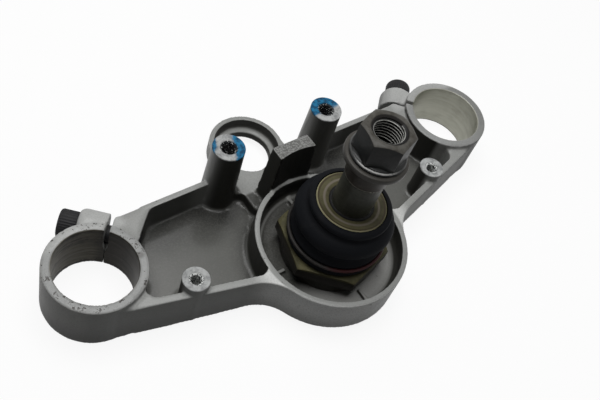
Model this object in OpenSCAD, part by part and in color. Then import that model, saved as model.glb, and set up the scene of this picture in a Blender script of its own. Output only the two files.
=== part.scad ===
// Lower fork bridge: a cast clamp for two fork tubes, with a screwed-in ball joint.
// The underside of the two clamp rings lies at z = 0, midway between them is x = y = 0.
// X runs across the fork tubes, Y to the rear and Z up.

/* [Clamp rings] */
// Distance between the two fork tubes
fork_spacing = 200; // [180:1:230]
// Diameter of a fork tube
fork_d = 35; // [31:0.5:38]
// Wall of a clamp ring
ring_wall = 4; // [3:0.25:6]
// Height of a clamp ring
ring_h = 25; // [22:0.5:30]
// Width of the clamp slit
slit_w = 2.2; // [1.5:0.1:4]
// Angle of the slit, from the line between the tubes towards the rear
slit_angle = 47; // [42:1:52]
// Chamfer at the lower edge of each bore
bore_chamfer = 0.5; // [0.5:0.1:1.5]

/* [Clamp ears and bolts] */
// Distance from the tube's axis to the clamp bolt's axis
ear_reach = 24.5; // [24:0.25:28]
// Radius of the rounded ear around the bolt
ear_r = 8.8; // [8:0.2:10]
// Length of the ear, from the middle of the slit
ear_l = 13.5; // [11:0.5:17]
// Chamfer around the ear's outer end
ear_chamfer = 1.5; // [0.5:0.1:2]
// Depth of the bolt's axis below the plate's rim
bolt_drop = 9.5; // [9:0.25:11]
// Diameter of the clamp bolt
bolt_d = 8; // [6:0.5:10]
// Diameter of the bolt's head
bolt_head_d = 13; // [12:0.5:15]
// Height of the bolt's head
bolt_head_h = 8; // [5:0.5:10]
// Depth of the threaded hole past the slit
bolt_depth = 14; // [10:0.5:16]

/* [Plate] */
// How far the plate's rim lies below the ring tops
rim_drop = 3; // [2:0.25:5]
// Height of the plate's underside beside the rings
plate_lift = 0.5; // [0.25:0.25:1.5]
// Height of the plate's underside below the cup
cup_lift = 3; // [2:0.25:4]
// Thickness of the pocket floor
web_t = 4; // [3:0.25:5]
// Distance of the rear edge behind the line of the tubes
rear_y = 19.5; // [19:0.25:22]
// Slope of each front edge
front_angle = 14.4; // [12:0.2:16]
// Width of the rear rim
rear_rim = 2.8; // [2.4:0.1:4]
// Width of the front rim
front_rim = 3.4; // [2.6:0.1:5]
// Rounding of the pocket's corners
pocket_r = 5; // [2.5:0.25:5.5]
// Fillet between the front edge and the cup
front_fillet = 20; // [14:1:28]

/* [Cup] */
// Distance of the ball joint in front of the line of the tubes
cup_y = 32.3; // [30:0.25:35]
// Inner radius of the cup
cup_r = 33; // [31:0.25:34]
// Wall of the cup
cup_wall = 2.5; // [2:0.25:4]
// Height of the cup floor above the underside
cup_floor_z = 11.5; // [10:0.25:13]
// Fillet around the cup floor
cup_fillet = 5; // [3:0.25:6]
// Width of the small ribs on the cup floor
rib_w = 1.8; // [1:0.1:3]
// Height of the small ribs
rib_h = 1.6; // [1:0.1:3]

/* [Posts and bosses] */
// Distance between the two rear posts
post_spacing = 54.8; // [50:0.2:58]
// Distance of the posts behind the line of the tubes
post_y = 18.1; // [17:0.1:19]
// Height of the posts above the ring tops
post_rise = 17.8; // [12:0.2:24]
// Radius of a post at its top
post_r = 7.4; // [6.5:0.1:8.5]
// Radius of the tapped hole in a post
post_hole_r = 3.4; // [2.5:0.1:4.2]
// Distance between the two front bosses
boss_spacing = 135.2; // [130:0.2:138]
// Distance of the bosses in front of the line of the tubes
boss_y = 24.2; // [23:0.1:25]
// Height of the bosses above the ring tops
boss_rise = 1.2; // [0.4:0.1:3]
// Radius of a boss
boss_r = 5.9; // [5:0.1:6.5]
// Radius of the tapped hole in a boss
boss_hole_r = 2.6; // [2:0.1:3.3]

/* [Stop block and rear eye] */
// Height of the steering stop above the ring tops
stop_rise = 17.7; // [10:0.2:24]
// Half width of the stop at its top
stop_half_w = 9.9; // [7:0.1:11]
// Half width of the stop at its foot
stop_foot_half_w = 11.6; // [10.4:0.2:12.4]
// Distance of the stop's back face behind the line of the tubes
stop_back_y = 9.6; // [8:0.2:11]
// How far the saddle and the rear eye lie below the ring tops
saddle_drop = 12.6; // [10:0.2:14]
// Half width of the saddle beside the stop
saddle_half_w = 12.5; // [11:0.25:14]
// Distance of the pocket's end by the posts behind the line of the tubes
pocket_inner_y = 12; // [10:0.25:14]
// Distance of the rear eye behind the line of the tubes
eye_y = 34.1; // [32:0.1:36]
// Inner radius of the rear eye
eye_r = 15.8; // [13:0.1:16.4]
// Wall of the rear eye
eye_wall = 2.5; // [2:0.1:4]
// Depth of the rear eye's counterbore
eye_depth = 4.4; // [3:0.2:6]
// Ledge in the rear eye
eye_ledge = 3.3; // [1:0.1:4]

/* [Ball joint] */
// Lean of the stud towards the right, as it was left
stud_lean = 2.4; // [0:0.1:6]
// Width of the housing's hexagon across its flats
hex_af = 44.8; // [42:0.2:46]
// Height of the housing's hexagon
hex_h = 6.3; // [4:0.1:8]
// Turn of the hexagon where it was tightened
hex_turn = 14.4; // [0:0.6:59.4]
// Gap between the cup floor and the hexagon, where the housing's neck shows
neck_h = 6; // [3:0.25:8]
// Radius of the housing's thread
housing_thread_r = 20; // [19:0.25:21]
// Radius of the collar that the boot is held on
collar_r = 19; // [18.4:0.1:19.6]
// Height of the collar above the hexagon
collar_h = 4.5; // [3:0.25:5]
// Radius of the ball
ball_r = 13; // [12:0.25:13.5]
// Height of the ball's centre above the underside
ball_z = 16; // [15.5:0.1:16.5]
// Wall of the plastic seat around the ball
seat_wall = 2; // [1.5:0.1:2.4]
// Running clearance between ball and seat
ball_clearance = 0.05; // [0.02:0.01:0.1]
// Thickness of the cover under the ball
cover_t = 1.4; // [1:0.1:2]

/* [Stud, bush and nut] */
// Radius of the stud's neck above the ball
neck_r = 8.5; // [7.5:0.1:8.6]
// Radius of the stud's shank
shank_r = 8.9; // [8.7:0.1:9.4]
// Radius of the stud's thread
thread_r = 7; // [6:0.25:7.5]
// Height of the shoulder that the bush sits on, above the ball's centre
shoulder_h = 50.6; // [46:0.2:56]
// Radius of the bush's spigot
spigot_r = 9.4; // [9:0.1:10]
// Length of the bush's spigot
spigot_l = 10.8; // [8:0.2:14]
// Radius of the bush's flange
bush_flange_r = 13.8; // [12:0.1:15]
// Thickness of the bush's flange
bush_flange_t = 2.9; // [2:0.1:4]
// Radius of the nut's flange
nut_flange_r = 12.2; // [11.8:0.1:13]
// Thickness of the nut's flange at its edge
nut_flange_t = 2.2; // [1.5:0.1:3]
// Width of the nut across its flats
nut_af = 20.4; // [18:0.1:21]
// Height of the nut
nut_h = 14.6; // [12:0.2:18]
// Turn of the nut where it was tightened
nut_turn = 18.5; // [0:0.5:59.5]
// Length of stud that is run into the nut
nut_grip = 5; // [3:0.25:8]

/* [Boot] */
// Radius of the boot's bulge
boot_r = 22.6; // [21.5:0.1:23.5]
// Radius of the boot's foot
boot_foot_r = 21.8; // [21.4:0.1:22.8]
// Radius of the groove above the foot
boot_waist_r = 19.6; // [19.2:0.1:20.2]
// Radius of the boot's upper lip
boot_lip_r = 17.4; // [16.8:0.1:18]
// Thickness of the boot's rubber
boot_wall = 2; // [1.6:0.1:2.2]
// Height of the disc on the boot above the ball's centre
disc_h = 31.4; // [30:0.2:33]
// Radius of the disc
disc_r = 15.8; // [15:0.1:16.4]
// Thickness of the disc
disc_t = 1.2; // [0.8:0.1:1.6]
// Thickness of the wire ring around the boot's foot
wire_d = 1.6; // [1.2:0.1:2]

/* [Hidden] */
$fn = 64;

gap = 0.3;                  // room around soft pieces
fit = 0.05;                 // radial clearance of turned fits
cut = 1;                    // how far a cut runs past the face that it opens
bite = 0.4;                 // how far a flat reaches inside a round that it would only touch
fork_r = fork_d / 2;
fork_x = fork_spacing / 2;
ring_r = fork_r + ring_wall;
rim_z = ring_h - rim_drop;
pocket_z = cup_lift + web_t;
saddle_z = ring_h - saddle_drop;
bolt_z = rim_z - bolt_drop;
slit_half = slit_w / 2;
post_x = post_spacing / 2;
post_top = ring_h + post_rise;
post_foot_r = post_r + 0.9;
boss_x = boss_spacing / 2;
boss_top = ring_h + boss_rise;
countersink = 0.8;          // widening of each tapped hole's mouth
hole_floor = 4;             // metal left under a blind tapped hole
cup_outer_r = cup_r + cup_wall;
stop_top = ring_h + stop_rise;
eye_outer_r = eye_r + eye_wall;
hex_z = cup_floor_z + neck_h;
hex_top = hex_z + hex_h;
collar_top = hex_top + collar_h;
ball_y = -cup_y;
housing_z = cup_lift / 3;    // the housing's lower end, clear of the surface below
seat_r = ball_r + ball_clearance + seat_wall;
seat_top = ball_z + 5;      // the seat grips the ball to this height
lip_r = ball_r - 0.7;       // the mouth that keeps the ball in
bush_top = shoulder_h + spigot_l + bush_flange_t;
stud_end = bush_top + nut_grip;

// Points of an arc about c, from angle a0 to a1
function arc(c, r, a0, a1, n = 16) =
    [for (i = [0:n]) c + r * [cos(a0 + (a1 - a0) * i / n), sin(a0 + (a1 - a0) * i / n)]];
function flip(points) = [for (i = [len(points) - 1:-1:0]) [-points[i].x, points[i].y]];

// The front edge touches the ring's outside and meets the cup in a hollow fillet.
front_n = [sin(front_angle), -cos(front_angle)];
front_m = [cos(front_angle), sin(front_angle)];
front_c = fork_x * front_n.x + ring_r - bite;
fillet_t = let (q = front_n * (front_c + front_fillet) - [0, ball_y], b = q * front_m,
                r = cup_outer_r + front_fillet) -b + sqrt(b * b - q * q + r * r);
fillet_c = front_n * (front_c + front_fillet) + front_m * fillet_t;
fillet_a = atan2(fillet_c.y - ball_y, fillet_c.x);

// A point beside the left ring: along the slit, and square to it towards the ear
function by_slit(along, across) =
    [-fork_x + along * cos(slit_angle) - across * sin(slit_angle),
     along * sin(slit_angle) + across * cos(slit_angle)];

module mirrored() {
    children();
    mirror([1, 0, 0]) children();
}

// Everything that stands beside the left ring is built along the slit.
module at_left_slit() translate([-fork_x, 0, 0]) rotate(slit_angle) children();

// Outer outline of the plate between the rings and the cup
module plate_outline() {
    hollow = arc(fillet_c, front_fillet, fillet_a + 180, 90 + front_angle);
    right = concat(
        [[0, ball_y], [0, ball_y] + (cup_outer_r - bite) * [cos(fillet_a), sin(fillet_a)]],
        [for (i = [1:len(hollow) - 1]) hollow[i]],
        [front_n * front_c + front_m * (fork_x * front_m.x), [fork_x, 0],
         [-by_slit(ear_reach, 0).x, by_slit(ear_reach, 0).y], [fork_x - ring_r + 1, rear_y]]);
    polygon(concat(right, flip(right)));
}

// One pocket, on the right. Ring, cup, boss and post stand into it as they are.
module pocket_outline() {
    front = front_c - front_rim;
    back = rear_y - rear_rim;
    offset(r = pocket_r) offset(delta = -pocket_r)
        difference() {
            polygon([[0, back], [fork_x - 35, back], [fork_x - 15, -3], [fork_x, -ring_r],
                     front_n * front + front_m * fork_x, front_n * front + front_m * 22, [0, ball_y]]);
            translate([fork_x, 0]) circle(ring_r - 1);
            translate([0, ball_y]) circle(cup_outer_r - 1);
            polygon([[0, 0], [saddle_half_w, 0], [saddle_half_w, pocket_inner_y - 8],
                     [post_x - post_r, pocket_inner_y], [post_x, pocket_inner_y], [post_x, back], [0, back]]);
        }
}

module pockets() {
    mirrored() translate([0, 0, pocket_z]) linear_extrude(ring_h) pocket_outline();
}

// The cup's inside, with a fillet around its floor
module cup_space() {
    c = [cup_r - cup_fillet, cup_floor_z + cup_fillet];
    translate([0, ball_y, 0]) rotate_extrude($fn = 96)
        polygon(concat([[0, cup_floor_z]], arc(c, cup_fillet, -90, 0, 6),
                       [[cup_r, stop_top + cut], [0, stop_top + cut]]));
}

// Four small ribs between the cup floor and its wall
module cup_ribs() {
    reach = cup_r + cup_wall / 2;
    for (a = [0:90:270])
        translate([0, ball_y, cup_floor_z - cut]) rotate(a)
            translate([reach - 10, -rib_w / 2, 0]) cube([10, rib_w, rib_h + cut]);
}

// Steering stop: drafted sides, its front face hollow around the ball joint
module stop_block() {
    front_y = ball_y + cup_outer_r - 6;
    difference() {
        translate([0, stop_back_y, 0]) rotate([90, 0, 0])
            linear_extrude(stop_back_y - front_y)
                polygon([[-stop_foot_half_w, plate_lift + cut], [stop_foot_half_w, plate_lift + cut],
                         [stop_foot_half_w, saddle_z], [stop_half_w, stop_top],
                         [-stop_half_w, stop_top], [-stop_foot_half_w, saddle_z]]);
        translate([0, ball_y, 0])
            cylinder(r1 = cup_outer_r - 1, r2 = cup_outer_r + 0.5, h = stop_top + cut, $fn = 96);
    }
}

module tapped_hole(r, top, depth) {
    translate([0, 0, top - depth]) cylinder(r = r, h = depth + cut);
    translate([0, 0, top - countersink]) cylinder(r1 = r, r2 = r + countersink, h = countersink);
    translate([0, 0, top]) cylinder(r = r + countersink, h = cut);
}

// The rounded ear on the far side of the left slit
module ear() {
    at_left_slit() {
        translate([ear_reach, 0, bolt_z]) rotate([-90, 0, 0]) {
            cylinder(r = ear_r, h = ear_l - ear_chamfer);
            translate([0, 0, ear_l - ear_chamfer])
                cylinder(r1 = ear_r, r2 = ear_r - ear_chamfer, h = ear_chamfer);
        }
        translate([ring_r - 5, 0, bolt_z - ear_r + bite])
            cube([ear_reach - ring_r + 5, ear_l - ear_chamfer - bite, 2 * (ear_r - bite)]);
    }
}

// The bolt's way through the ear and its thread beyond the slit
module bolt_hole() {
    at_left_slit() translate([ear_reach, -slit_half - bolt_depth, bolt_z]) rotate([-90, 0, 0])
        cylinder(d = bolt_d + 2 * fit, h = slit_half + bolt_depth + ear_l + cut);
}

module slit() {
    at_left_slit() translate([0, -slit_half, -cut])
        cube([ear_reach + ear_r + 4, slit_w, ring_h + 2 * cut]);
}

module rear_eye() {
    translate([0, eye_y, plate_lift]) cylinder(r = eye_outer_r, h = saddle_z - plate_lift, $fn = 96);
    translate([bite - eye_outer_r, 0, plate_lift])
        cube([2 * (eye_outer_r - bite), eye_y, saddle_z - plate_lift]);
}

module rear_eye_hole() {
    shelf_z = saddle_z - eye_depth;
    translate([0, eye_y, 0]) {
        translate([0, 0, shelf_z]) cylinder(r = eye_r, h = eye_depth + cut, $fn = 96);
        translate([0, 0, shelf_z - eye_ledge / 2])
            cylinder(r1 = eye_r - eye_ledge, r2 = eye_r, h = eye_ledge / 2, $fn = 96);
        cylinder(r = eye_r - eye_ledge, h = shelf_z, $fn = 96);
    }
}

// The plate's underside rises from the rings to the cup.
module underside() {
    ring_x = fork_x - ring_r;
    translate([0, rear_y + eye_y + eye_outer_r, 0]) rotate([90, 0, 0])
        linear_extrude(2 * (rear_y + eye_y + eye_outer_r) + cup_y)
            polygon([[-ring_x, -cut], [-ring_x, plate_lift], [-cup_outer_r, cup_lift],
                     [cup_outer_r, cup_lift], [ring_x, plate_lift], [ring_x, -cut]]);
}

// All of the casting but its two rings, before it is bored
module middle_blank() {
    difference() {
        union() {
            difference() {
                union() {
                    translate([0, 0, plate_lift]) linear_extrude(rim_z - plate_lift) plate_outline();
                    mirrored() ear();
                }
                pockets();
                translate([-post_x, ball_y, saddle_z]) cube([post_spacing, rear_y + cup_y + cut, ring_h]);
            }
            translate([0, ball_y, plate_lift])
                cylinder(r = cup_outer_r, h = rim_z - plate_lift, $fn = 96);
            mirrored() {
                translate([post_x, post_y, plate_lift])
                    cylinder(r1 = post_foot_r, r2 = post_r, h = post_top - plate_lift);
                translate([boss_x, -boss_y, plate_lift]) cylinder(r = boss_r, h = boss_top - plate_lift);
            }
            rear_eye();
            stop_block();
        }
        underside();
    }
}

module casting_hollowed() {
    difference() {
        union() {
            middle_blank();
            mirrored() translate([fork_x, 0, 0]) cylinder(r = ring_r, h = ring_h, $fn = 96);
        }
        cup_space();
        translate([0, ball_y, 0]) cylinder(r = housing_thread_r, h = cup_floor_z + cut, $fn = 96);
        mirrored() {
            translate([fork_x, 0, bore_chamfer]) cylinder(r = fork_r, h = ring_h, $fn = 96);
            translate([fork_x, 0, 0])
                cylinder(r1 = fork_r + bore_chamfer, r2 = fork_r, h = bore_chamfer, $fn = 96);
            slit();
            bolt_hole();
            translate([post_x, post_y, 0]) tapped_hole(post_hole_r, post_top, post_top - cup_lift - hole_floor);
            translate([boss_x, -boss_y, 0]) tapped_hole(boss_hole_r, boss_top, boss_top - cup_lift - hole_floor);
        }
        rear_eye_hole();
    }
}

module bridge_casting() {
    color("silver") {
        casting_hollowed();
        cup_ribs();
    }
}

// Socket-head clamp bolt, seated on the ear's outer face
module clamp_bolt() {
    socket_af = bolt_d * 0.75;
    at_left_slit() translate([ear_reach, ear_l, bolt_z]) rotate([-90, 0, 0])
        difference() {
            union() {
                cylinder(d = bolt_head_d, h = bolt_head_h - 0.6);
                translate([0, 0, bolt_head_h - 0.6])
                    cylinder(d1 = bolt_head_d, d2 = bolt_head_d - 1.2, h = 0.6);
                translate([0, 0, -ear_l - slit_half - bolt_depth + 1])
                    cylinder(d = bolt_d, h = ear_l + slit_half + bolt_depth);
            }
            translate([0, 0, bolt_head_h / 2])
                cylinder(d = socket_af / cos(30), h = bolt_head_h, $fn = 6);
        }
}

module clamp_bolt_left() color([0.1, 0.1, 0.1]) clamp_bolt();
module clamp_bolt_right() color([0.1, 0.1, 0.1]) mirror([1, 0, 0]) clamp_bolt();

// Turned housing with its hexagon, screwed into the cup floor
module ball_joint_housing() {
    thread = housing_thread_r - fit;
    neck = housing_thread_r + 2;
    cavity = seat_r + fit;
    mouth = collar_r - 2.4;
    corner_r = hex_af / 2 + 1.6;
    color([0.62, 0.6, 0.36]) translate([0, ball_y, 0]) difference() {
        union() {
            rotate_extrude($fn = 96)
                polygon([[0, housing_z], [thread - 1, housing_z], [thread, housing_z + 1],
                         [thread, cup_floor_z], [neck, cup_floor_z], [neck, hex_top - 1],
                         [collar_r, hex_top - 1], [collar_r, collar_top - 0.5],
                         [collar_r - 0.5, collar_top], [0, collar_top]]);
            translate([0, 0, hex_z]) rotate(hex_turn) intersection() {
                cylinder(d = hex_af / cos(30), h = hex_h, $fn = 6);
                cylinder(r1 = corner_r + 1.7 * hex_h, r2 = corner_r, h = hex_h, $fn = 96);
            }
        }
        rotate_extrude($fn = 96)
            polygon([[0, housing_z - cut], [cavity, housing_z - cut], [cavity, seat_top],
                     [lip_r, seat_top], [lip_r, seat_top + 0.6], [mouth, collar_top],
                     [mouth, collar_top + cut], [0, collar_top + cut]]);
    }
}

// Plastic seat around the lower part of the ball
module ball_seat() {
    seat_z = housing_z + cover_t;
    color("ivory") translate([0, ball_y, 0]) difference() {
        translate([0, 0, seat_z]) cylinder(r = seat_r, h = seat_top - seat_z, $fn = 96);
        translate([0, 0, ball_z]) sphere(r = ball_r + ball_clearance, $fn = 96);
    }
}

// Round cover that closes the housing from below
module housing_cover() {
    color([0.62, 0.6, 0.36]) translate([0, ball_y, housing_z])
        cylinder(r = seat_r, h = cover_t, $fn = 96);
}

// Places a piece that is turned about the stud: its zero is the ball's centre
module on_stud() {
    translate([0, ball_y, ball_z]) rotate([0, stud_lean, 0]) children();
}

// Ball and stud in one piece, with a shoulder for the bush and a threaded end
module ball_stud() {
    color([0.25, 0.25, 0.24]) on_stud() {
        sphere(r = ball_r, $fn = 96);
        rotate_extrude($fn = 96)
            polygon([[0, 0], [neck_r, 0], [neck_r, ball_r], [shank_r, ball_r + 8], [shank_r, shoulder_h],
                     [thread_r, shoulder_h], [thread_r, stud_end - 1], [thread_r - 1, stud_end],
                     [0, stud_end]]);
    }
}

// Dished disc on the boot's upper lip
module boot_disc() {
    color([0.66, 0.62, 0.36]) on_stud() rotate_extrude($fn = 96)
        polygon([[shank_r + fit, disc_h], [disc_r - 2.5, disc_h], [disc_r, disc_h + 0.5],
                 [disc_r, disc_h + disc_t], [disc_r - 3, disc_h + disc_t - 0.2],
                 [shank_r + fit, disc_h + disc_t - 0.2]]);
}

module flanged_bush() {
    flange_z = shoulder_h + spigot_l;
    color([0.2, 0.17, 0.14]) on_stud() rotate_extrude($fn = 96)
        polygon([[thread_r + fit, shoulder_h], [spigot_r - 0.5, shoulder_h],
                 [spigot_r, shoulder_h + 0.5], [spigot_r, flange_z], [bush_flange_r - 0.4, flange_z],
                 [bush_flange_r, flange_z + 0.4], [bush_flange_r, bush_top - 0.6],
                 [bush_flange_r - 0.6, bush_top], [thread_r + fit, bush_top]]);
}

// Hexagon nut with its own flange
module flange_nut() {
    chamfer_r = nut_af / 2 + 0.5;
    color([0.12, 0.12, 0.12]) on_stud() translate([0, 0, bush_top]) difference() {
        union() {
            cylinder(r = nut_flange_r, h = nut_flange_t * 0.6, $fn = 96);
            translate([0, 0, nut_flange_t * 0.6])
                cylinder(r1 = nut_flange_r, r2 = nut_af / 2, h = nut_flange_t, $fn = 96);
            rotate(nut_turn) intersection() {
                cylinder(d = nut_af / cos(30), h = nut_h, $fn = 6);
                cylinder(r1 = chamfer_r + nut_h * 1.7, r2 = chamfer_r, h = nut_h, $fn = 96);
            }
        }
        translate([0, 0, -cut]) cylinder(r = thread_r + fit, h = nut_h + 2 * cut);
        translate([0, 0, nut_h - 0.8]) cylinder(r1 = thread_r + fit, r2 = thread_r + 0.9, h = 0.8);
        translate([0, 0, nut_h]) cylinder(r = thread_r + 0.9, h = cut);
    }
}

// The boot's section: how far out and how high, from the foot up, then back down inside
boot_foot_z = hex_top + gap;
boot_top_h = disc_h + disc_t + 0.2;
boot_rise = ball_z + boot_top_h - boot_foot_z;
boot_outside = [[boot_foot_r, 0.02], [boot_foot_r + 0.2, 0.09], [boot_foot_r - 0.7, 0.13],
                [boot_foot_r - 1.2, 0.18], [boot_foot_r - 0.5, 0.23], [boot_waist_r + 0.8, 0.29],
                [boot_waist_r, 0.34], [boot_waist_r + 0.8, 0.4], [boot_r - 0.6, 0.5],
                [boot_r, 0.6], [boot_r - 0.8, 0.71], [boot_r - 3, 0.8], [boot_lip_r + 0.2, 0.86],
                [boot_lip_r, 0.91], [boot_lip_r + 0.1, 0.96], [boot_lip_r - 0.5, 1]];
boot_inside = [[disc_r + 0.4, 1], [disc_r + 0.3, (boot_rise - disc_t - 0.6) / boot_rise],
               [shank_r + 0.5, (boot_rise - disc_t - 0.6) / boot_rise],
               [shank_r + 0.5, 0.86], [boot_lip_r - boot_wall, 0.84], [boot_r - boot_wall, 0.66],
               [boot_r - boot_wall, 0.55], [collar_r + gap + 0.4, 0.38], [collar_r + gap, 0.2],
               [collar_r + gap, 0]];
boot_sides = 48;

// A point of the boot: the foot stays level and the lip leans with the stud
function boot_point(p, turn) =
    let (z = boot_foot_z + p.y * boot_rise - ball_z, lean = stud_lean * p.y,
         x = p.x * cos(turn))
    [x * cos(lean) + z * sin(lean), ball_y + p.x * sin(turn), ball_z + z * cos(lean) - x * sin(lean)];

module boot() {
    section = concat(boot_outside, boot_inside);
    n = len(section);
    color([0.08, 0.08, 0.09]) polyhedron(
        points = [for (k = [0:boot_sides - 1], p = section) boot_point(p, 360 * k / boot_sides)],
        faces = [for (k = [0:boot_sides - 1], i = [0:n - 1], half = [0, 1])
            let (a = k * n + i, b = k * n + (i + 1) % n,
                 c = (k + 1) % boot_sides * n + i, d = (k + 1) % boot_sides * n + (i + 1) % n)
            half == 0 ? [a, b, d] : [a, d, c]]);
}

// Wire ring that holds the boot's foot on the collar
module boot_lower_ring() {
    color([0.3, 0.16, 0.16]) translate([0, ball_y, boot_foot_z + 0.18 * boot_rise])
        rotate_extrude($fn = 96) translate([boot_foot_r - 0.75 + wire_d / 2, 0]) circle(d = wire_d, $fn = 24);
}

bridge_casting();
clamp_bolt_left();
clamp_bolt_right();
ball_joint_housing();
ball_seat();
housing_cover();
ball_stud();
boot();
boot_lower_ring();
boot_disc();
flanged_bush();
flange_nut();
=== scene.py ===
import bpy
import numpy as np
from math import cos, sin, pi, radians
from mathutils import Matrix, Vector


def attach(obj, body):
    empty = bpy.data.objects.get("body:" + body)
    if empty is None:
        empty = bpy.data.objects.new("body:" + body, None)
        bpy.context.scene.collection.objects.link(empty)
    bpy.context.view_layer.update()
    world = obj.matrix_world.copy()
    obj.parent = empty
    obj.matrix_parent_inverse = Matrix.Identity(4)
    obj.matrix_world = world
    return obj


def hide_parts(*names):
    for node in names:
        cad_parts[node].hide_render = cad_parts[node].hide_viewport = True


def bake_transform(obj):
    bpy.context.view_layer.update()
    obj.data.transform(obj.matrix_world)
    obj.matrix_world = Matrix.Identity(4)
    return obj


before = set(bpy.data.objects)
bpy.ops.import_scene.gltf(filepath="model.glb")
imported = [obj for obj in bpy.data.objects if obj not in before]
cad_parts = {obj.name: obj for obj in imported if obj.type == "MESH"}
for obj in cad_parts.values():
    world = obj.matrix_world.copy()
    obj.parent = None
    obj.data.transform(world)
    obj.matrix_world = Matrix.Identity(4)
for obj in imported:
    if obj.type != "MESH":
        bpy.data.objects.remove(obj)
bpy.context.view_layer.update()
mm = 0.001

# Places in the CAD, in mm and degrees: x across the forks, y rearwards, z up from the undersides of the rings
layout = {"ring": 100, "bore": 17.5, "slitTurn": 47, "cup": -32.3, "eye": 34.1, "ballHeight": 16, "lean": 2.4}
ball = Vector((0, layout["cup"], layout["ballHeight"])) * mm
lean = Matrix.Translation(ball) @ Matrix.Rotation(radians(layout["lean"]), 4, "Y")      # zero of all on the stud

# Tapped posts and bosses, each on both sides.
# hole: radius in the solid; widened: room made there for the cut thread; clear: radius that isn't pulled back onto
# the solid; dark: radius of the hole painted dark as shade; paintedGlint: noise level above which its thread gets a
# painted glint; paint: side, direction and limits of each blue patch
tapped = {
    "postFace": {"at": (27.4, 18.1), "top": 42.8, "outer": 7.42, "thread": 3.9, "pitch": 1.25, "turns": 12,
                 "hole": 3.4, "widened": 4.6, "clear": 6, "dark": 3.7, "paintedGlint": 0.58,
                 "paint": [(-1, 0.92, -0.40, 1.6, 3.0), (-1, -0.81, 0.59, 5.2, 6.4), (1, -0.10, 0.99, -1.6, 0.4)]},
    "bossFace": {"at": (67.6, -24.2), "top": 26.2, "outer": 5.92, "thread": 3.0, "pitch": 1.0, "turns": 9,
                 "hole": 2.6, "widened": 3.7, "clear": 4.6, "dark": 2.8, "paintedGlint": 0.46, "paint": []}}
print("frame loaded")


def alone(piece=None):                      # nothing selected, or this piece only
    if bpy.context.object and bpy.context.object.mode == "EDIT":
        bpy.ops.object.mode_set(mode="OBJECT")
    bpy.ops.object.select_all(action="DESELECT")
    if piece:
        piece.select_set(True)
        bpy.context.view_layer.objects.active = piece


def editing(piece, kind="VERT"):
    alone(piece)
    bpy.ops.object.mode_set(mode="EDIT")
    bpy.ops.mesh.select_mode(type=kind)
    bpy.ops.mesh.select_all(action="SELECT")


# Selects some points and scales them across the z axis through a place.
def squeezed(piece, chosen, factor, centre=(0, 0)):
    editing(piece)
    bpy.ops.mesh.select_all(action="DESELECT")
    bpy.ops.object.mode_set(mode="OBJECT")
    piece.data.vertices.foreach_set("select", chosen)
    bpy.ops.object.mode_set(mode="EDIT")
    bpy.ops.transform.resize(value=(factor, factor, 1), center_override=(centre[0] * mm, centre[1] * mm, 0))
    alone(piece)


def finished(piece, outwards=True):
    editing(piece)
    bpy.ops.mesh.remove_doubles(threshold=0.002 * mm)
    if outwards:
        bpy.ops.mesh.normals_make_consistent(inside=False)
    bpy.ops.object.mode_set(mode="OBJECT")
    return piece


def modified(piece, kind, **settings):
    alone(piece)
    made = piece.modifiers.new(kind.lower(), kind)
    for key, value in settings.items():
        setattr(made, key, value)
    bpy.ops.object.modifier_apply(modifier=made.name)
    return piece


def bevelled(piece, width, angle=30):
    return modified(piece, "BEVEL", width=width * mm, segments=2, limit_method="ANGLE",
                    angle_limit=radians(angle), use_clamp_overlap=True)


def smoothed(piece, rounds, group=""):
    return modified(piece, "SMOOTH", factor=0.5, iterations=rounds, vertex_group=group)


# The points of a group go onto another surface, which is then removed.
def pulledOnto(piece, other, group):
    modified(piece, "SHRINKWRAP", target=other, vertex_group=group, wrap_method="NEAREST_SURFACEPOINT")
    bpy.data.objects.remove(other)


def combined(piece, other, operation):
    modified(piece, "BOOLEAN", object=other, operation=operation, solver="EXACT")
    bpy.data.objects.remove(other)


def placed(piece, matrix):
    piece.data.transform(matrix)
    if matrix.determinant() < 0:
        finished(piece)
    return piece


def copyOfNode(node, name):
    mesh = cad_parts[node].data.copy()
    mesh.materials.clear()
    piece = bpy.data.objects.new(name, mesh)
    bpy.context.scene.collection.objects.link(piece)
    return finished(piece, outwards=False)


# A turned piece: a circle, extruded and resized from one (radius, height) of its outline to the next.
def turned(name, outline, sides=96, poles=False):
    alone()
    r, z = outline[0]
    bpy.ops.mesh.primitive_circle_add(vertices=sides, radius=r * mm, fill_type="NOTHING", location=(0, 0, z * mm))
    piece = bpy.context.object
    piece.name = name
    bpy.ops.object.transform_apply(location=True)
    editing(piece, "EDGE")
    if poles:
        bpy.ops.mesh.edge_face_add()
        bpy.ops.mesh.select_all(action="SELECT")
    for (r0, z0), (r1, z1) in zip(outline, outline[1:]):
        bpy.ops.mesh.select_mode(type="EDGE")
        bpy.ops.mesh.extrude_edges_move(TRANSFORM_OT_translate={"value": (0, 0, (z1 - z0) * mm)})
        if abs(r1 - r0) > 1e-6:
            bpy.ops.transform.resize(value=(r1 / r0, r1 / r0, 1), center_override=(0, 0, z1 * mm))
    if poles:
        bpy.ops.mesh.edge_face_add()
    bpy.ops.object.mode_set(mode="OBJECT")
    return finished(piece)


# The same with a closed section, so that the piece is a ring.
def turnedRing(name, section):
    return turned(name, section + section[:1])


# A smooth line through a few points, for soft outlines.
def softLine(points, steps=4):
    ends = [points[0]] + points + [points[-1]]
    line = []
    for a, b, c, d in zip(ends, ends[1:], ends[2:], ends[3:]):
        for k in range(steps):
            t = k / steps
            line.append(tuple(0.5 * (2 * q + (r - p) * t + (2 * p - 5 * q + 4 * r - s) * t * t
                                     + (3 * q - p - 3 * r + s) * t ** 3)
                              for p, q, r, s in zip(a, b, c, d)))
    return line + [points[-1]]


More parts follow.
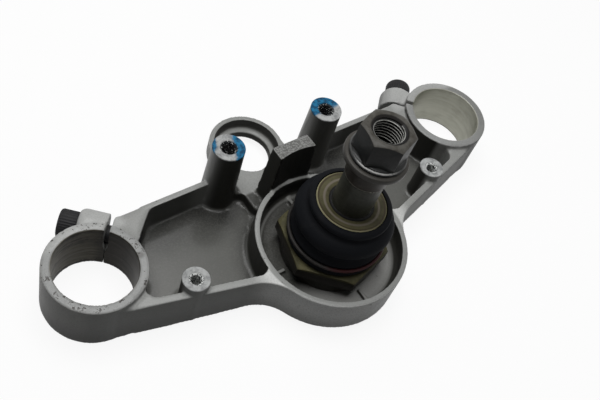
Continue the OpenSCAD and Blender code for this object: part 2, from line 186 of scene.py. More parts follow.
def shown(piece, body, finish, slot, *nodes, angle=35):
    alone(piece)
    piece.data.materials.clear()
    piece.data.materials.append(finish)
    bpy.ops.object.shade_smooth_by_angle(angle=radians(angle))
    if body:
        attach(piece, body)
    if nodes:
        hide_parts(*nodes)
    return piece


# A socket of a node tree that can be written in plain sums.
class Value:
    def __init__(self, nodes, socket):
        self.nodes, self.socket = nodes, socket

    def maths(self, operation, *others):
        return self.nodes.node("Math", {"operation": operation}, dict(enumerate((self,) + others)))

    def __add__(self, other): return self.maths("ADD", other)
    def __sub__(self, other): return self.maths("SUBTRACT", other)
    def __rsub__(self, other): return self.nodes.node("Math", {"operation": "SUBTRACT"}, {0: other, 1: self})
    def __mul__(self, other): return self.maths("MULTIPLY", other)
    def __pow__(self, other): return self.maths("POWER", other)
    def __abs__(self): return self.maths("ABSOLUTE")
    __radd__, __rmul__ = __add__, __mul__

    def capped(self):                       # 1 at most
        return self.maths("MINIMUM", 1)

    # 0 below low, 1 above high, smooth between; one name stands for two limits in the look of the finish
    def over(self, low, high=None):
        if high is None:
            low, high = self.nodes.look[low]
        return self.nodes.node("MapRange", {"interpolation_type": "SMOOTHSTEP"},
                               {"Value": self, "From Min": low, "From Max": high})

    def under(self, low, high=None):
        return 1 - self.over(low, high)


def span(a, b):
    return (a ** 2 + b ** 2) ** 0.5


class Nodes:
    def __init__(self, tree):
        self.tree = tree
        tree.nodes.clear()

    def join(self, socket, value):
        if isinstance(value, str):
            value = self.look[value]
        if isinstance(value, Value):
            self.tree.links.new(value.socket, socket)
        else:
            if hasattr(value, "__len__") and len(value) == 3 and socket.type == "RGBA":
                value = (*value, 1)
            socket.default_value = value

    def node(self, kind, settings={}, values={}, out=0):
        made = self.tree.nodes.new("ShaderNode" + kind)
        for key, value in settings.items():
            setattr(made, key, value)
        for key, value in values.items():
            self.join(made.inputs[key], value)
        return made if out is None else Value(self, made.outputs[out])

    def split(self, vector):
        parts = self.node("SeparateXYZ", values={0: vector}, out=None)
        return [Value(self, parts.outputs[k]) for k in range(3)]

    # 1 for what the camera sees directly, in a reflection or through glass, 0 for soft light
    def seen(self):
        rays = self.node("LightPath", out=None)
        camera, glossy, through = (Value(self, rays.outputs[f"Is {kind} Ray"])
                                   for kind in ("Camera", "Glossy", "Transmission"))
        return (camera + glossy + through).capped()


# A material. Its colours, limits and noises go by their names in look. x, y and z are mm in the CAD frame, and rear
# and up say how far the surface faces those ways.
class Finish(Nodes):
    def __init__(self, name, look={}):
        self.look = look
        self.material = bpy.data.materials.new(name)
        self.material.use_nodes = True
        super().__init__(self.material.node_tree)
        self.object = self.node("TexCoord", out="Object")
        self.x, self.y, self.z = (part * 1000 for part in self.split(self.object))
        self.rear, self.up = self.split(self.node("TexCoord", out="Normal"))[1:]

    def mix(self, factor, a, b):
        return self.node("Mix", {"data_type": "RGBA"}, {0: factor, 6: a, 7: b}, out=2)

    # A noise's entry in look gives its scale and detail, and then its roughness and distortion where they matter.
    def noise(self, name, at=None):
        sizes = dict(zip(("Scale", "Detail", "Roughness", "Distortion"), self.look[name]))
        return self.node("TexNoise", values={"Vector": at or self.object, **sizes})

    def stretched(self, x, y, z):
        return self.node("Mapping", values={"Vector": self.object, "Scale": (x, y, z)})

    def fromLine(self, x, y):               # distance from an upright line
        return span(self.x - x, self.y - y)

    # Place on the leaning stud, with the height above the ball's centre and the radius from its axis
    def onStud(self):
        moved = self.node("Mapping", {"vector_type": "TEXTURE"},
                          {"Vector": self.object, "Location": ball, "Rotation": (0, radians(layout["lean"]), 0)})
        x, y, height = (part * 1000 for part in self.split(moved))
        return {"x": x, "y": y, "height": height, "radius": span(x, y)}

    def bump(self, height, distance, strength=1, after=None):
        values = {"Height": height, "Distance": distance * mm, "Strength": strength}
        if after:
            values["Normal"] = after
        return self.node("Bump", values=values)

    # In look, rough is the least roughness and the share of a noise in it, and bump its depth in mm and strength.
    def surface(self, colour, rough=None, relief=None, **more):
        values = {"Base Color": colour, "Metallic": self.look.get("metal", 0),
                  "Specular IOR Level": self.look.get("specular", 0.5)}
        if rough:
            values["Roughness"] = self.look["rough"][0] + self.look["rough"][1] * rough
        if relief:
            values["Normal"] = self.bump(relief, *self.look["bump"])
        values.update({key.replace("_", " "): value for key, value in more.items()})
        shader = self.node("BsdfPrincipled", values=values)
        self.node("OutputMaterial", values={"Surface": shader}, out=None)
        return self.material


# Blasted cast aluminium: bright where it was machined, with painted highlights on rounded edges, fillets, ears and
# the cup's front rim, partly rubbed wear on the outer edges; painted light on the walls by the cup and on the ring
# fronts, and painted shade in the hollows, in shadows and at the feet of the walls
castLook = {
    "ring": (0.29, 0.295, 0.29), "rim": (0.30, 0.305, 0.295), "junctionHighlight": (0.66, 0.665, 0.65),
    "saddle": (0.29, 0.295, 0.285), "stop": (0.105, 0.105, 0.10), "rib": (0.22, 0.22, 0.21),
    "wall": (0.27, 0.275, 0.265), "litCupWall": (0.80, 0.805, 0.79), "litRingWall": (0.35, 0.35, 0.34),
    "floor": (0.085, 0.086, 0.079), "cupFloor": (0.25, 0.25, 0.24), "inside": (0.035, 0.035, 0.031),
    "dull": (0.14, 0.14, 0.13), "paintedShade": (0.012, 0.012, 0.011), "highlightAndSpeckle": (0.46, 0.465, 0.455),
    "chip": (0.045, 0.04, 0.035), "boreLeft": (0.24, 0.225, 0.185), "boreLeftDark": (0.022, 0.019, 0.015),
    "boreRight": (0.43, 0.43, 0.37), "boreRightDark": (0.33, 0.33, 0.28), "specular": 0.06}

# Where each area of the casting begins and ends, in mm, or as a share where a facing or a noise is meant
castZones = {
    "facingUp": (0.6, 0.9), "facingFront": (-0.9, -0.7), "stopFacing": (-0.75, -0.35), "earFacing": (0.2, 0.5),
    "edgeFrom": (0.3, 0.5), "edgeTo": (0.86, 0.95),
    "armFront": (40, 43), "armRear": (12, 25), "armEnd": (82, 84), "outOfCup": (33.8, 34.8), "offRing": (19.5, 21),
    "inCup": (33.6, 34.6), "inEye": (15.9, 16.1), "cupWallEnd": (36, 48), "ringWallEnd": (21.8, 22.6),
    "foot": (0, 15), "ringTop": (23, 24.4), "rightRing": (85, 118), "stopTop": (30, 34), "lowFaces": (18, 21),
    "junctionEnd": (37, 46), "junctionStart": (35.2, 36.2), "junctionFront": (-30, -22),
    "floorByCup": (35, 46), "floorByRing": (22, 30), "rearWallShadow": (-8, 10), "floorSide": (22, 30),
    "postShadow": (90, 400),               # mm squared
    "eyeLedge": (16, 16.5), "cupFront": (-54, -38), "cupFloorEdge": (31.5, 33), "ribTop": (11.9, 12.6),
    "saddleSide": (17.5, 19), "saddleFront": (8.5, 10), "edgeOfCup": (32, 33.5),
    "postRight": (5, 10), "postRear": (6, 10), "postSide": (36, 38), "postCup": (34, 36), "postEye": (16.5, 17.5),
    "earSide": (76, 80), "earRear": (12, 16), "stopHeight": (13, 15), "stopSide": (13, 14), "stopRear": (-4, -2),
    "clouds": (0.35, 0.8), "grains": (0.4, 0.75), "speckles": (0.45, 0.6), "speckleTop": (38, 40),
    "pits": (0.72, 0.78), "chipHeight": (24.2, 24.8), "chipRing": (20.9, 21.6), "chips": (0.585, 0.605),
    "chipFront": (-15, -10), "chipRear": (13, 18), "dots": (0.65, 0.67), "smear": (0.8, 2.2),
    "boreWall": (17.72, 17.86), "boreSide": (70, 72), "right": (-1, 1), "streaks": (0.35, 0.7),
    "blotches": (0.45, 0.75), "darkeningSide": (7, 12), "darkeningFoot": (2.2, 3.0), "rightFoot": (0.7, 1.1)}

# How strongly each of them shows
castShares = {
    "foot": 0.5, "rightRing": 0.5, "wallShade": 0.6, "rearWallShadow": 0.7, "postShadow": 0.7, "post": 0.5,
    "edgeLow": 0.05, "edgeHigh": 0.31, "ears": 0.8, "clouds": 0.3, "grains": 0.25, "speckles": 0.4, "pits": 0.6,
    "smear": 0.6, "streaks": 0.7, "blotches": 0.6, "darkening": 0.85}

# Scale, detail, roughness and distortion of each noise
castNoise = {
    "cloud": (26, 4, 0.6), "grain": (1500, 2, 0.6), "speckle": (1300, 3, 0.7), "pit": (420, 2, 0.5),
    "flake": (360, 4, 0.75, 0.5), "dot": (420, 3, 0.6), "streak": (150, 4, 0.65, 0.6), "blotch": (95, 4, 0.6),
    "raggedFoot": (210, 3, 0.6)}


def castAlloy():
    f, share = Finish("castAlloy", castLook | castZones | castNoise), castShares
    cloud, grain = f.noise("cloud"), f.noise("grain")
    x, y, z, side = f.x, f.y, f.z, abs(f.x)
    up = f.up.over("facingUp")
    ring = span(side - layout["ring"], y)                   # distances from the axes of ring, cup and rear eye
    cup = span(side, y - layout["cup"])
    eye = span(side, y - layout["eye"])
    front = side * 0.2487 - y * 0.9686                      # how far in front of the arm's slanted middle line

    # walls: painted shade makes them dark in the pockets, the cup and the eye, and darker towards their feet; painted
    # light makes them lightest outside in front of the cup, and lighter where the rings face forwards
    arms = (front.under("armFront") * y.under("armRear") * side.under("armEnd")
            * cup.over("outOfCup") * ring.over("offRing"))
    inner = (arms + cup.under("inCup") + eye.under("inEye")).capped()
    outer = f.mix(side.under("cupWallEnd"), "wall", "litCupWall")
    outer = f.mix(ring.under("ringWallEnd") * f.rear.over("facingFront"), outer, "litRingWall")
    outer = f.mix(z.under("foot") * share["foot"], outer, "paintedShade")
    skin = f.mix(inner, outer, "inside")

    # faces that look up: rims, ring tops and the stop; the rim where the arms meet the cup's front gets a painted
    # highlight
    high = z.over("ringTop")
    junctionHighlight = cup.under("junctionEnd") * cup.over("junctionStart") * y.under("junctionFront")
    flat = f.mix(high, f.mix(junctionHighlight, "rim", "junctionHighlight"), "ring")
    flat = f.mix(high * x.over("rightRing") * share["rightRing"], flat, "dull")
    flat = f.mix(z.over("stopTop"), flat, "stop")

    # floors of the pockets, with painted shade along the cup and ring walls, in the rear wall's shadow and in the
    # posts' shadows; the eye's ledge; the cup's floor with its ribs, dark with painted shade apart from its front;
    # and the saddle
    wallShadeMask = (cup.under("floorByCup") + ring.under("floorByRing")).capped()
    low = f.mix(wallShadeMask * share["wallShade"], "floor", "paintedShade")
    low = f.mix(y.over("rearWallShadow") * side.over("floorSide") * share["rearWallShadow"], low, "paintedShade")
    postX, postY = tapped["postFace"]["at"]
    postShadowMask = ((side - postX) ** 2 + (y - postY) ** 2).under("postShadow")
    low = f.mix(postShadowMask * share["postShadow"], low, "paintedShade")
    low = f.mix(eye.under("eyeLedge"), low, "dull")
    bowl = f.mix(y.under("cupFront"), "inside", "cupFloor")
    low = f.mix(cup.under("cupFloorEdge"), low, f.mix(z.over("ribTop"), bowl, "rib"))
    saddle = side.under("saddleSide") * y.over("saddleFront")
    flat = f.mix(z.under("lowFaces"), flat, f.mix(saddle, low, "saddle"))

    # the right post is duller than the left one
    post = (x.over("postRight") * y.over("postRear") * side.under("postSide")
            * cup.over("postCup") * eye.over("postEye"))
    skin = f.mix(post * share["post"], skin, "dull")
    skin = f.mix(up, skin, flat)

    # rounded edges and the fillets in the hollows get painted highlights, partly rubbed wear on the outer edges, and
    # so do the ears; the sides of the stop are dark with painted shade
    edge = f.up.over("edgeFrom") * f.up.under("edgeTo") * cup.over("edgeOfCup")
    skin = f.mix(edge * (share["edgeLow"] + share["edgeHigh"] * z.over("lowFaces")), skin, "highlightAndSpeckle")
    ears = side.over("earSide") * y.over("earRear") * f.up.over("earFacing")
    skin = f.mix(ears * share["ears"], skin, "highlightAndSpeckle")
    shadedStopSides = z.over("stopHeight") * side.under("stopSide") * y.over("stopRear") * (1 - up)
    skin = f.mix(shadedStopSides, skin, f.mix(f.rear.over("stopFacing"), "paintedShade", "inside"))

    # clouds and grain of the blasted skin, speckles on the stop, and pits
    bare = 1 - inner * (1 - up)
    skin = f.mix(cloud.over("clouds") * share["clouds"] * bare, skin, "dull")
    skin = f.mix(grain.over("grains") * share["grains"] * bare, skin, "dull")
    speckle = f.noise("speckle").over("speckles") * z.over("speckleTop")
    skin = f.mix(speckle * side.under("stopSide") * up * share["speckles"], skin, "highlightAndSpeckle")
    pits = f.noise("pit").over("pits")
    skin = f.mix(pits * share["pits"], skin, "chip")

    # chips gather at the front left and at the rear right of the left ring, and a smear lies beside its slit
    ringTop = z.over("chipHeight") * f.fromLine(-layout["ring"], 0).under("chipRing")
    across = x + y + layout["ring"]
    places = (across.under("chipFront") + across.over("chipRear")).capped()
    chips = f.noise("flake").over("chips") * ringTop * places
    dots = f.noise("dot").over("dots") * ringTop
    smear = f.fromLine(-81.4, -3.4).under("smear") * ringTop
    chips = (chips + dots + smear * share["smear"]).capped()
    skin = f.mix(chips, skin, "chip")

    # bores: the left one is brown, stained beyond its slit and darker along its lower edge; the right one is bright
    # and darker at its very foot
    bore = ring.under("boreWall") * side.over("boreSide")
    right = x.over("right")
    streak = f.noise("streak", at=f.stretched(0.35, 0.35, 3))
    blotch = f.noise("blotch").over("blotches")
    marks = (streak.over("streaks") * share["streaks"] + blotch * share["blotches"]).capped()
    wall = f.mix(marks, f.mix(right, "boreLeft", "boreRight"), f.mix(right, "boreLeftDark", "boreRightDark"))
    raggedFoot = z + 6 * (f.noise("raggedFoot") - 0.5)
    darkening = (x + layout["ring"]).over("darkeningSide") * share["darkening"] + raggedFoot.under("darkeningFoot")
    darkening = darkening.capped() * (1 - right) + right * z.under("rightFoot")
    wall = f.mix(darkening, wall, "boreLeftDark")

    relief = grain * (1 - bore) + streak * bore * 0.6
    bumps = f.bump(relief, 0.05, 0.55)
    bumps = f.bump(pits + chips * 1.5, -0.12, 0.8, after=bumps)
    coat = (0.12 + 0.2 * up + 0.2 * post) * (1 - shadedStopSides) * (1 - bore)
    return f.surface(f.mix(bore, skin, wall), Roughness=0.5 + 0.1 * cloud - 0.12 * bore, Normal=bumps,
                     Metallic=bore * (0.02 + 0.56 * right), Coat_Weight=coat, Coat_Roughness=0.2)


faceLook = {
    "bright": (0.42, 0.43, 0.425), "dull": (0.22, 0.225, 0.225), "blue": (0.004, 0.045, 0.10),
    "paleBlue": (0.015, 0.15, 0.29), "hole": (0.006, 0.007, 0.008), "paintedGlint": (0.8, 0.82, 0.8),
    "rings": (900, 3, 0.6), "wear": (330, 4, 0.7), "worn": (0.4, 0.66), "ragged": (260, 3, 0.6),
    "paint": (420, 3, 0.6), "paintTone": (0.38, 0.62), "paintReach": (9, 10), "sparkle": (1300, 3, 0.7),
    "rough": (0.4, 0.2), "specular": 0.12, "bump": (0.04, 0.5)}


# Machined top of a post or boss: its hole is painted dark as shade, with painted glints on the thread
def machinedFace(name):
    f, s = Finish(name, faceLook), tapped[name]
    x0, y0 = s["at"]
    rings = f.noise("rings")
    colour = f.mix(f.noise("wear").over("worn"), "bright", "dull")
    patches = []
    for side, dx, dy, low, high in s["paint"]:
        x, y = side * x0, y0
        along = (f.x - x) * dx + (f.y - y) * dy + 3 * (f.noise("ragged") - 0.5)
        patches.append(along.over(low, high) * f.fromLine(x, y).under("paintReach"))
    if patches:
        blue = f.mix(f.noise("paint").over("paintTone"), "blue", "paleBlue")
        colour = f.mix(sum(patches[1:], patches[0]).capped(), colour, blue)
    hole = span(abs(f.x) - x0, f.y - y0).under(s["dark"], s["dark"] + 0.45)
    paintedGlint = f.noise("sparkle").over(s["paintedGlint"], s["paintedGlint"] + 0.05)
    colour = f.mix(hole, colour, f.mix(paintedGlint, "hole", "paintedGlint"))
    return f.surface(colour, rings, rings)


threadLook = {
    "rootShade": (0.008, 0.008, 0.008), "bright": (0.34, 0.34, 0.32), "dull": (0.14, 0.14, 0.13), "wear": (700, 3, 0.6),
    "worn": (0.4, 0.7), "litCrest": (6.42, 6.62), "rough": (0.3, 0.2), "metal": 0.1, "specular": 0.1, "bump": (0.02,)}


# Thread in the nut: painted highlights along its crests and painted shade in its roots
def threadSteel():
    f = Finish("threadSteel", threadLook)
    wear = f.noise("wear")
    litCrest = f.mix(wear.over("worn"), "bright", "dull")
    colour = f.mix(f.onStud()["radius"].under("litCrest"), "rootShade", litCrest)
    return f.surface(colour, wear, wear)


blackLook = {
    "dark": (0.010, 0.010, 0.011), "light": (0.022, 0.021, 0.020), "wear": (600, 3, 0.6), "worn": (0.45, 0.8),
    "rough": (0.42, 0.2), "specular": 0.15, "bump": (0.03,)}


def blackSteel():
    f = Finish("blackSteel", blackLook)
    wear = f.noise("wear")
    return f.surface(f.mix(wear.over("worn"), "dark", "light"), wear, wear)


zincLook = {
    "light": (0.125, 0.115, 0.055), "dark": (0.030, 0.028, 0.014), "dirt": (0.02, 0.02, 0.014),
    "sides": (0.022, 0.020, 0.016), "cloud": (55, 4, 0.65, 0.8), "clouds": (0.35, 0.7), "grain": (700, 3, 0.6),
    "grains": (0.55, 0.8), "left": (-26, -16), "sideTop": (22.2, 23.4),
    "rough": (0.38, 0.25), "metal": 0.05, "specular": 0.12, "bump": (0.03, 0.6)}
discLook = {
    "light": (0.095, 0.087, 0.046), "dark": (0.042, 0.038, 0.018), "line": (0.045, 0.035, 0.02),
    "edge": (0.27, 0.25, 0.15), "inner": (0.16, 0.14, 0.11), "hole": (0.006, 0.006, 0.006),
    "lineFrom": (14.2, 14.7), "lineTo": (14.9, 15.3), "edgeFrom": (15.2, 15.5), "edgeSide": (-6, 6),
    "innerFrom": (11.4, 12.0), "innerTo": (12.4, 13.0), "holeTo": (10.0, 10.4)}


# Cloudy yellow zinc plating, with what both pieces have of it
def yellowZinc(name, look):
    f = Finish(name, look)
    cloud, grain = f.noise("cloud"), f.noise("grain")
    colour = f.mix(cloud.over("clouds"), "light", "dark")
    return f, grain, f.mix(grain.over("grains") * 0.5, colour, "dirt")


# The sides of the housing are painted nearly black as shade, and its left corner is the brightest.
def housingZinc():
    f, grain, colour = yellowZinc("yellowZinc", zincLook)
    colour = f.mix(f.x.over("left") * 0.6, colour, "dark")
    colour = f.mix(f.z.under("sideTop"), colour, "sides")
    return f.surface(colour, grain, grain)


# The disc has a rolled edge with a painted highlight, brightest on the left, a dark line within it, and painted shade
# in the ring round the stud.
def discZinc():
    f, grain, colour = yellowZinc("discZinc", zincLook | discLook)
    stud = f.onStud()
    r = stud["radius"]
    colour = f.mix(r.over("lineFrom") * r.under("lineTo"), colour, "line")
    colour = f.mix(r.over("edgeFrom") * (0.35 + 0.65 * stud["x"].under("edgeSide")), colour, "edge")
    colour = f.mix(r.under("innerTo") * r.over("innerFrom"), colour, "inner")
    colour = f.mix(r.under("holeTo"), colour, "hole")
    return f.surface(colour, grain, grain)


seatLook = {"light": (0.78, 0.75, 0.68), "dark": (0.66, 0.63, 0.55), "cloud": (80, 3), "rough": (0.35, 0.1)}


def seatPlastic():
    f = Finish("seatPlastic", seatLook)
    cloud = f.noise("cloud")
    return f.surface(f.mix(cloud, "light", "dark"), cloud)


studLook = {
    "light": (0.07, 0.073, 0.057), "dark": (0.03, 0.03, 0.025), "line": (0.10, 0.10, 0.08),
    "cloud": (90, 4, 0.6, 0.5), "clouds": (0.3, 0.7), "lathe": (120, 3, 0.6), "lines": (0.5, 0.8),
    "rough": (0.3, 0.2), "metal": 0.06, "specular": 0.12, "bump": (0.02, 0.5)}


def studSteel():
    f = Finish("studSteel", studLook)
    cloud = f.noise("cloud")
    lathe = f.noise("lathe", at=f.stretched(1, 1, 12))
    colour = f.mix(cloud.over("clouds"), "light", "dark")
    colour = f.mix(lathe.over("lines") * 0.5, colour, "line")
    return f.surface(colour, cloud, lathe)


rubberLook = {
    "clean": (0.0045, 0.005, 0.0062), "dusty": (0.011, 0.011, 0.012), "dust": (110, 4, 0.65), "grain": (1400, 2),
    "dusted": (0.5, 0.8), "rough": (0.55, 0.2), "specular": 0.05, "bump": (0.03, 0.5)}


def bootRubber():
    f = Finish("bootRubber", rubberLook)
    dust, grain = f.noise("dust"), f.noise("grain")
    return f.surface(f.mix(dust.over("dusted"), "clean", "dusty"), dust, grain + dust * 3)


wireLook = {
    "light": (0.035, 0.032, 0.030), "dark": (0.016, 0.015, 0.014), "red": (0.035, 0.008, 0.009), "cloud": (160, 3),
    "clouds": (0.35, 0.65), "redFrom": (-8, 0), "redTo": (19, 22), "redFront": (-44, -40),
    "rough": (0.4, 0.1), "metal": 0.03, "specular": 0.12, "bump": (0.02,)}


# The wire ring shows red at its lower right in the photograph.
def wireSteel():
    f = Finish("wireSteel", wireLook)
    cloud = f.noise("cloud")
    across = f.x * 0.808 - (f.y - layout["cup"]) * 0.589
    red = across.over("redFrom") * across.under("redTo") * f.y.under("redFront")
    colour = f.mix(red, f.mix(cloud.over("clouds"), "light", "dark"), "red")
    return f.surface(colour, cloud, cloud)


bushLook = {
    "dark": (0.014, 0.011, 0.008), "light": (0.042, 0.037, 0.031), "flange": (0.06, 0.058, 0.052),
    "edge": (0.6, 0.58, 0.5), "cloud": (140, 4, 0.6, 0.4), "clouds": (0.3, 0.7), "spot": (330, 2, 0.5),
    "spots": (0.62, 0.68), "flangeFrom": (61.2, 61.8), "edgeTo": (51.1, 51.7),
    "rough": (0.34, 0.2), "metal": 0.04, "specular": 0.15, "bump": (0.04,)}


# The bush's lower edge is rubbed bright in spots.
def bushSteel():
    f = Finish("bushSteel", bushLook)
    height = f.onStud()["height"]
    cloud = f.noise("cloud")
    spots = f.noise("spot").over("spots")
    colour = f.mix(cloud.over("clouds"), "dark", "light")
    colour = f.mix(height.over("flangeFrom") * 0.6, colour, "flange")
    colour = f.mix(((spots + 0.25) * height.under("edgeTo")).capped(), colour, "edge")
    return f.surface(colour, cloud, cloud)


nutLook = {
    "black": (0.009, 0.010, 0.010), "grey": (0.026, 0.027, 0.025), "worn": (0.075, 0.072, 0.064),
    "brown": (0.035, 0.032, 0.026), "mouth": (0.012, 0.011, 0.010), "flangeHighlight": (0.62, 0.62, 0.60),
    "cloud": (120, 4, 0.65, 0.5), "clouds": (0.35, 0.75), "grain": (900, 2), "wear": (260, 3, 0.6),
    "wears": (0.35, 0.7), "facingUp": (0.3, 0.5), "top": (70, 72), "mouthTo": (7.6, 8.3),
    "flangeHighlightFrom": (11.5, 11.7), "flangeHighlightLow": (65.5, 65.8), "flangeHighlightHigh": (66.1, 66.4), "flangeHighlightFront": (-4, 2),
    "flangeHighlightLeft": (-6, 3), "flangeTop": (68, 69),
    "rough": (0.3, 0.25), "specular": 0.1, "bump": (0.03, 0.6)}


# The nut is worn on top, and its flange has a painted highlight along the front left of its edge.
def nutSteel():
    f = Finish("nutSteel", nutLook)
    stud = f.onStud()
    height, r = stud["height"], stud["radius"]
    cloud, grain = f.noise("cloud"), f.noise("grain")
    black = f.mix(cloud.over("clouds"), "black", "grey")
    worn = f.mix(f.noise("wear").over("wears"), "worn", "brown")
    colour = f.mix(f.up.over("facingUp") * height.over("top"), black, worn)
    colour = f.mix(r.under("mouthTo"), colour, "mouth")
    # painted highlight along the front left of the flange's edge
    line = r.over("flangeHighlightFrom") * height.over("flangeHighlightLow") * height.under("flangeHighlightHigh")
    side = 0.08 + 0.92 * stud["y"].under("flangeHighlightFront") * stud["x"].under("flangeHighlightLeft")
    colour = f.mix(line * side, colour, "flangeHighlight")
    coat = height.under("flangeTop") * 0.14 + 0.05
    return f.surface(colour, cloud, grain + cloud * 2, Coat_Weight=coat, Coat_Roughness=0.12)


finishes = {
    "cast": castAlloy(), "postFace": machinedFace("postFace"), "bossFace": machinedFace("bossFace"),
    "thread": threadSteel(), "black": blackSteel(), "zinc": housingZinc(), "disc": discZinc(), "seat": seatPlastic(),
    "stud": studSteel(), "rubber": bootRubber(), "wire": wireSteel(), "bush": bushSteel(), "nut": nutSteel()}
print("finishes made")


# hollow: depth that counts as one, in mm; reach: rings of points taken with it; fillet, ear and round: rounds of
# smoothing there and everywhere; the ear and slit limits are measured along the slit and across it
castingSizes = {
    "voxel": 0.56, "triangles": 190000, "hollow": 0.07, "reach": 6, "fillet": 32, "ear": 36, "round": 4,
    "holeFloor": 6, "holeRim": 0.9, "cupInside": 33.5, "ribTop": 16, "offBore": 1.5, "earOffBore": 3,
    "earFrom": 21.5, "earTo": 36, "earSlit": 2, "earHead": 12.6, "earTail": -15, "earFoot": 4,
    "pinch": 0.94, "pinchTop": 13, "pinchFade": 4, "pinchSide": 2.6, "sideFade": 1.5, "pinchFrom": 16, "pinchTo": 23,
    "boreLow": 1.8, "boreHigh": 24.3}


def placesOf(piece):
    return np.array([v.co for v in piece.data.vertices]) / mm


def fromRing(place):
    return np.hypot(np.abs(place[:, 0]) - layout["ring"], place[:, 1])


# Distance along the slit of either ring from its axis, and across the slit
def alongSlit(place):
    out, turn = layout["ring"] - np.abs(place[:, 0]), radians(layout["slitTurn"])
    return out * cos(turn) + place[:, 1] * sin(turn), place[:, 1] * cos(turn) - out * sin(turn)


# Marks where the skin is hollow, a few rings of points wide.
def hollowPoints(piece, depth, reach):
    mesh = piece.data
    count = len(mesh.vertices)
    place, facing = np.empty(count * 3), np.empty(count * 3)
    mesh.vertices.foreach_get("co", place)
    mesh.vertices.foreach_get("normal", facing)
    ends = np.empty(len(mesh.edges) * 2, np.int64)
    mesh.edges.foreach_get("vertices", ends)
    place, facing, (a, b) = place.reshape(-1, 3), facing.reshape(-1, 3), ends.reshape(-1, 2).T
    degree = np.maximum(np.bincount(ends, minlength=count), 1)
    middle = np.stack([(np.bincount(a, place[b, k], count) + np.bincount(b, place[a, k], count)) / degree
                       for k in range(3)], axis=1)
    hollow = ((middle - place) * facing).sum(axis=1) > depth * mm
    for _ in range(reach):
        wider = hollow.copy()
        wider[a[hollow[b]]] = True
        wider[b[hollow[a]]] = True
        hollow = wider
    return place / mm, hollow


def grouped(piece, name, chosen):
    group = piece.vertex_groups.new(name=name)
    group.add(np.flatnonzero(chosen).tolist(), 1.0, "REPLACE")
    return name


# The slits are narrower in their lower half, where the photograph shows no light through them.
def pinchSlits(piece):
    s = castingSizes
    place = placesOf(piece)
    u, v = alongSlit(place)
    share = s["pinch"] * np.clip((s["pinchTop"] - place[:, 2]) / s["pinchFade"], 0, 1)
    share *= np.clip((s["pinchSide"] - np.abs(v)) / s["sideFade"], 0, 1) * (u > s["pinchFrom"]) * (u < s["pinchTo"])
    v = v * (1 - share)
    moved, turn = u > s["pinchFrom"], radians(layout["slitTurn"])
    place[moved, 0] = (np.sign(place[:, 0]) * (layout["ring"] - (u * cos(turn) - v * sin(turn))))[moved]
    place[moved, 1] = (u * sin(turn) + v * cos(turn))[moved]
    piece.data.vertices.foreach_set("co", (place * mm).ravel())


# After the smoothing the bores are made true cylinders again.
def trueBores(piece):
    s = castingSizes
    place = placesOf(piece)
    wall = np.abs(fromRing(place) - layout["bore"]) < 0.5
    wall &= (place[:, 2] > s["boreLow"]) & (place[:, 2] < s["boreHigh"])
    alone()
    tubes = []
    for side in (-1, 1):
        bpy.ops.mesh.primitive_cylinder_add(vertices=256, radius=layout["bore"] * mm, depth=40 * mm,
                                            end_fill_type="NOTHING",
                                            location=(side * layout["ring"] * mm, 0, 12.5 * mm))
        tubes.append(bpy.context.object)
    for tube in tubes:
        tube.select_set(True)
    bpy.ops.object.join()
    pulledOnto(piece, bpy.context.object, grouped(piece, "bores", wall))


def makeCasting():
    s = castingSizes
    piece = copyOfNode("bridge_casting", "castBridge")
    place = placesOf(piece)
    for hole in tapped.values():
        x, y = hole["at"]
        for side in (-1, 1):
            near = np.hypot(place[:, 0] - side * x, place[:, 1] - y) < hole["hole"] + s["holeRim"]
            squeezed(piece, near & (place[:, 2] > s["holeFloor"]), hole["widened"] / hole["hole"], (side * x, y))
    modified(piece, "REMESH", mode="VOXEL", voxel_size=s["voxel"] * mm, adaptivity=0)
    place, hollow = hollowPoints(piece, s["hollow"], s["reach"])
    near = fromRing(place)
    ribs = (np.hypot(place[:, 0], place[:, 1] - layout["cup"]) < s["cupInside"]) & (place[:, 2] < s["ribTop"])
    # the skin goes back onto the solid's own surface, apart from the hollows and the tapped holes
    true = copyOfNode("bridge_casting", "trueCasting")
    holes = np.zeros(len(place), bool)
    for hole in tapped.values():
        x, y = hole["at"]
        holes |= np.hypot(np.abs(place[:, 0]) - x, place[:, 1] - y) < hole["clear"]
    pulledOnto(piece, true, grouped(piece, "flats", ~hollow & ~(holes & (place[:, 2] > s["holeFloor"]))))
    # hollows become soft fillets, and the ears rounded barrels; their slits and the bolts' seats stay as they are
    place = placesOf(piece)
    smoothed(piece, s["fillet"], grouped(piece, "hollows", hollow & (near > layout["bore"] + s["offBore"]) & ~ribs))
    u, v = alongSlit(place)
    ears = (u > s["earFrom"]) & (u < s["earTo"]) & (v > s["earTail"]) & (v < s["earHead"])
    ears &= (np.abs(v) > s["earSlit"]) & (place[:, 2] > s["earFoot"]) & (near > layout["bore"] + s["earOffBore"])
    smoothed(piece, s["ear"], grouped(piece, "ears", ears))
    smoothed(piece, s["round"])
    pinchSlits(piece)
    trueBores(piece)
    faces = len(piece.data.polygons) * 2
    modified(piece, "DECIMATE", ratio=min(1, s["triangles"] / faces))
    piece.vertex_groups.clear()
    print("casting", faces, "to", len(piece.data.polygons))
    return shown(piece, "bridge", finishes["cast"], "cast_aluminium", "bridge_casting", angle=55)


makeCasting()


